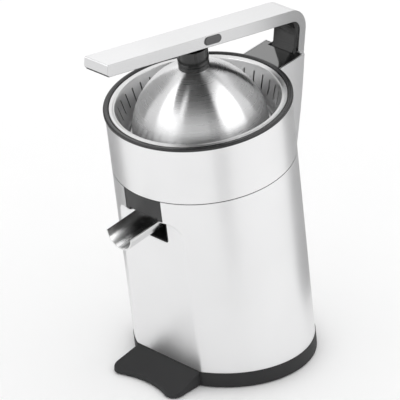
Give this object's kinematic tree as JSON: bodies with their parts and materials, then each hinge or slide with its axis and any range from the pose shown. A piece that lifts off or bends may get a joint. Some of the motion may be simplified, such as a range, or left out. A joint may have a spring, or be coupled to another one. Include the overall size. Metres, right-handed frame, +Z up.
{
  "type": "citrus press juicer",
  "caption": "Electric citrus press: leaning round body, swing-over lever with a press hood, strainer and reamer, and a tilting pouring spout.",
  "frame": {"origin": "on the floor, under the middle of the object's bounding box", "axes": "+Z up, -Y towards the spout and the lever's free end, +X to the right when facing the way -Y looks from behind"},
  "size_m": [0.15, 0.2226, 0.2993],
  "materials": {
    "base": "fine moulded black",
    "rubber": "matt black rubber",
    "screws": "bright zinc plated steel",
    "brushed": "stainless steel, brushed round the body",
    "black_trim": "satin black plastic",
    "rim": "satin black plastic",
    "window": "dark smoked plastic",
    "black_inner": "matt black plastic",
    "polished": "drawn stainless sheet",
    "inner_white": "natural acetal and nylon mouldings",
    "motor": "plated motor steel",
    "brass": "machined brass",
    "board": "circuit board",
    "collector": "dark food-grade plastic",
    "strainer": "pressed stainless sheet",
    "reamer": "dark food-grade plastic",
    "column": "satin silver metal",
    "cover": "glossy black plastic",
    "bracket": "cast metal",
    "lever": "fine satin silver metal",
    "hood": "stainless steel, turned finish",
    "neck": "glossy black plastic",
    "button": "dark grey plastic"
  },
  "bodies": {
    "housing": {"base_tray": "base", "rubber_feet": "rubber", "base_screws": "screws", "lower_shell": "brushed", "upper_shell": "brushed", "seam_ring": "black_trim", "rim_ring": "rim", "window_panel": "window", "spout_housing": "black_inner", "spout_pins": "screws", "cord_gland": "rubber", "chassis": "inner_white", "gearbox_plate": "inner_white", "gearbox_screws": "screws", "motor_can": "motor", "stator": "motor", "idler_pin": "screws", "output_bush": "brass", "spindle_spring": "screws", "start_switch": "black_inner", "rectifier_board": "board", "board_screws": "screws", "juice_collector": "collector", "chimney_seal": "rubber", "strainer_basket": "strainer", "hinge_column": "column", "column_cover": "cover", "hinge_bracket": "bracket", "bracket_screws": "screws", "hinge_pin": "screws", "hinge_bushes": "black_inner"},
    "spout": {"spout": "polished"},
    "rotor": {"rotor": "motor", "motor_pinion": "brass"},
    "idler": {"idler_gear": "inner_white"},
    "output": {"output_gear": "inner_white"},
    "reamer": {"reamer": "reamer", "spindle": "screws"},
    "switch_plunger": {"switch_plunger": "inner_white"},
    "lever": {"lever_skin": "lever", "lever_liner": "black_trim", "press_hood": "hood", "hood_neck": "neck", "hood_screw": "screws", "button_spring_right": "screws", "button_spring_left": "screws"},
    "button_right": {"release_button_right": "button"},
    "button_left": {"release_button_left": "button"}
  },
  "joints": [
    {"name": "lever_hinge", "type": "hinge", "parent": "housing", "child": "lever", "pos_m": [0, 0.09118, 0.22766], "axis": [-1, 0, 0], "range_deg": [0, 80]},
    {"name": "button_right_press", "type": "slide", "parent": "lever", "child": "button_right", "axis": [-1, 0, 0], "range_m": [0, 0.002], "stiffness_N_per_m": 600, "springref_m": -0.001, "deforming": ["button_spring_right"]},
    {"name": "button_left_press", "type": "slide", "parent": "lever", "child": "button_left", "axis": [1, 0, 0], "range_m": [0, 0.002], "stiffness_N_per_m": 600, "springref_m": -0.001, "deforming": ["button_spring_left"]},
    {"name": "spout_tilt", "type": "hinge", "parent": "housing", "child": "spout", "pos_m": [0, -0.04879, 0.14828], "axis": [-1, 0, 0], "range_deg": [0, 15]},
    {"name": "rotor_spin", "type": "hinge", "parent": "housing", "child": "rotor", "pos_m": [0, 0.01888, 0.09897], "axis": [0, -0.1433, 0.9897], "continuous": true},
    {"name": "idler_spin", "type": "hinge", "parent": "housing", "child": "idler", "pos_m": [0, 0.04427, 0.13296], "axis": [0, -0.1433, 0.9897], "continuous": true},
    {"name": "output_spin", "type": "hinge", "parent": "housing", "child": "output", "pos_m": [0, 0.01386, 0.13361], "axis": [0, -0.1433, 0.9897], "continuous": true},
    {"name": "reamer_press", "type": "slide", "parent": "output", "child": "reamer", "axis": [0, 0.1433, -0.9897], "range_m": [0, 0.002], "stiffness_N_per_m": 2500, "springref_m": -0.0016, "deforming": ["spindle_spring"]},
    {"name": "plunger_press", "type": "slide", "parent": "housing", "child": "switch_plunger", "axis": [0, 0.1433, -0.9897], "range_m": [0, 0.002]}
  ],
  "couplings": [
    {"joint": "idler_spin", "follows": "rotor_spin", "ratio": -0.25},
    {"joint": "output_spin", "follows": "rotor_spin", "ratio": 0.0625},
    {"joint": "plunger_press", "follows": "reamer_press", "ratio": 1}
  ]
}
